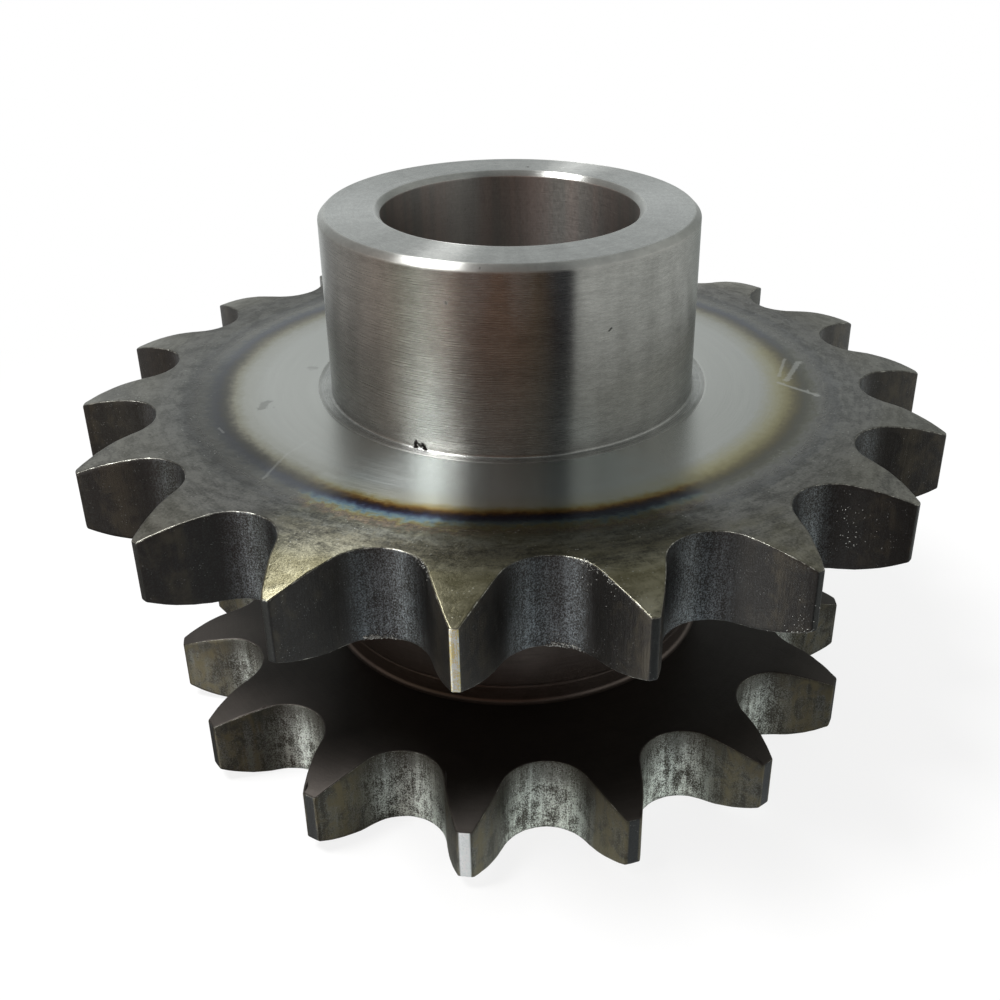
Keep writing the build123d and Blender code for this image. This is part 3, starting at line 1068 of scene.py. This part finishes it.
# plain faces: the under side, the small ring's face, the neck and the foot
def scaledSteel(name, look, colour, roughness, worn=0.6, lined=0.0):
    material, tree, shader = newMaterial(name)
    mottle = useGroup(tree, "scaleMottle", {"size": 1.0})
    wear = useGroup(tree, "edgeWear", {"amount": worn})
    turning = useGroup(tree, "turningLines", {"fineness": 2.5, "arcLength": 4.0})
    shade = 0.6 + mottle["clouds"] * 0.5 + mottle["grain"] * 0.3 + (turning["lines"] - 0.5) * lined
    colour = shaded(colour, shade)
    colour = mixColour(wear["worn"] * 0.8, colour, look["wornEdge"])
    relief = mottle["grain"] + turning["lines"] * lined * 2
    finishSteel(tree, shader, look, colour, 0.85, roughness + mottle["grain"] * 0.2, relief, 0.3)
    return material


# beads of dross: dark lumps with paler patches
def drossSteel(look):
    material, tree, shader = newMaterial("drossSteel")
    grain = useGroup(tree, "scaleMottle", {"size": 2.0})["grain"]
    colour = mixColour(rise(grain, 0.4, 0.6), look["beadDark"], look["beadLight"])
    finishSteel(tree, shader, look, colour, 0.3, 0.5 + grain * 0.3, grain, 0.4)
    return material


makePlaceGroup()
makeTurningGroup()
makeMottleGroup()
makeWearGroup()
makeTintGroup(finishLook)
makeStrokeGroup()
look = finishLook
materials = {
    "bore": boreSteel(look),
    "turned": turnedSteel(look),
    "disc": discSteel(look),
    "upperTeeth": toothSteel("upperTeethSteel", look, look["upperCut"]),
    "underside": scaledSteel("undersideSteel", look, look["scaleDark"], roughness=0.45),
    # dark brown neck: painted shade and painted reflection on bare steel
    "neck": scaledSteel("neckSteel", look, look["neckShadeBrown"], roughness=0.34, worn=0.0, lined=0.5),
    "lowerFace": scaledSteel("lowerFaceSteel", look, look["lowerDark"], roughness=0.42, worn=0.4, lined=0.3),
    "lowerTeeth": toothSteel("lowerTeethSteel", look, look["lowerCut"]),
    "foot": scaledSteel("footSteel", look, look["bareSteel"], roughness=0.4, worn=0.8, lined=0.4),
}
print("materials made:", ", ".join(material.name for material in materials.values()))

piece = makeSprocket(sprocket, materials)
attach(piece, "root")
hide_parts("double_sprocket")


# Dross: beads of burnt metal that the cutting torch left on the large ring's edges

dross = {
    "seed": 11,
    "thickness": 22.0,          # beads on a square millimetre of edge, where they lie thickest
    "flankThickness": 2.4,      # and of flank
    "footTop": 48.75,           # along the ring's lower edge they lie in a row, thicker and larger
    "footThickness": 42.0,
    "footGrowth": 1.1,
    "patchSize": 0.5,
    "beadLeast": 0.04,          # radii in millimetres
    "beadMost": 0.15,
    # where they lie: x, y, height, how far they reach
    "spots": [
        (-14.0, -62.8, 48.3, 3.8),
        (13.6, -62.6, 48.3, 4.5),
        (18.5, -67.0, 64.1, 5.0),
        (50.0, -57.2, 52.0, 6.0),
        (-64.0, -34.0, 56.0, 6.0),
        (59.0, -39.5, 56.0, 5.0),
        (-3.7, -66.6, 64.1, 4.0),
    ],
}


squareMillimetres = 1000000     # in a square metre
beadPoints = 12


def makeDross(sprocketPiece, size, material):
    holder = bpy.data.objects.new("drossBeads", sprocketPiece.data.copy())
    scene.collection.objects.link(holder)
    values = {name: value for name, value in size.items() if name != "spots"}
    tree, wires = newShapeTree("drossShape", "edges", values, "beads")
    place = scaledBy(addNode(tree, "GeometryNodeInputPosition"), 1000.0)
    cluster = None
    for *spot, reach in size["spots"]:
        near = 1 - rise(vectorNode("DISTANCE", place, tuple(spot)), reach * 0.4, reach)
        cluster = mathNode("MAXIMUM", cluster, near) if cluster else near
    cluster = cluster * rise(noise(place, wires["patchSize"], 3.0, 0.7), 0.42, 0.6)
    onEdge = mathNode("GREATER_THAN", stored(tree, "edge"), 0.45)
    onFlank = mathNode("COMPARE", stored(tree, "finish"), float(finishes.index("upperTeeth")), 0.5)
    foot = mathNode("LESS_THAN", split(place)[2], wires["footTop"])
    onFlank = onFlank * (wires["flankThickness"] + wires["footThickness"] * foot)
    spread = {"Mesh": wires["edges"], "Seed": wires["seed"],
              "Density": cluster * (wires["thickness"] * onEdge + onFlank) * squareMillimetres}
    points = addNode(tree, "GeometryNodeDistributePointsOnFaces", spread, distribute_method="RANDOM")
    bead = addNode(tree, "GeometryNodeMeshIcoSphere", {"Radius": 0.001, "Subdivisions": 1})
    least, most = [joined(wires[name], wires[name], wires[name]) for name in ("beadLeast", "beadMost")]
    lump = addNode(tree, "FunctionNodeRandomValue", {0: least, 1: most, "Seed": wires["seed"]},
                   data_type="FLOAT_VECTOR")
    lump = scaledBy(lump, 1 + foot * wires["footGrowth"])
    placed = {"Points": points, "Instance": bead, "Scale": lump}
    instances = addNode(tree, "GeometryNodeInstanceOnPoints", placed)
    made = addNode(tree, "GeometryNodeRealizeInstances", {"Geometry": instances})
    made = addNode(tree, "GeometryNodeSetMaterial", {"Geometry": made, "Material": material})
    result = tree.nodes.new("NodeGroupOutput")
    feed(tree, result.inputs["beads"], made)
    holder.data = madeMesh(holder, tree, values, "drossBeads")
    print("dross has", len(holder.data.vertices) // beadPoints, "beads")
    return holder


beads = makeDross(piece, dross, drossSteel(look))
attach(beads, "root")
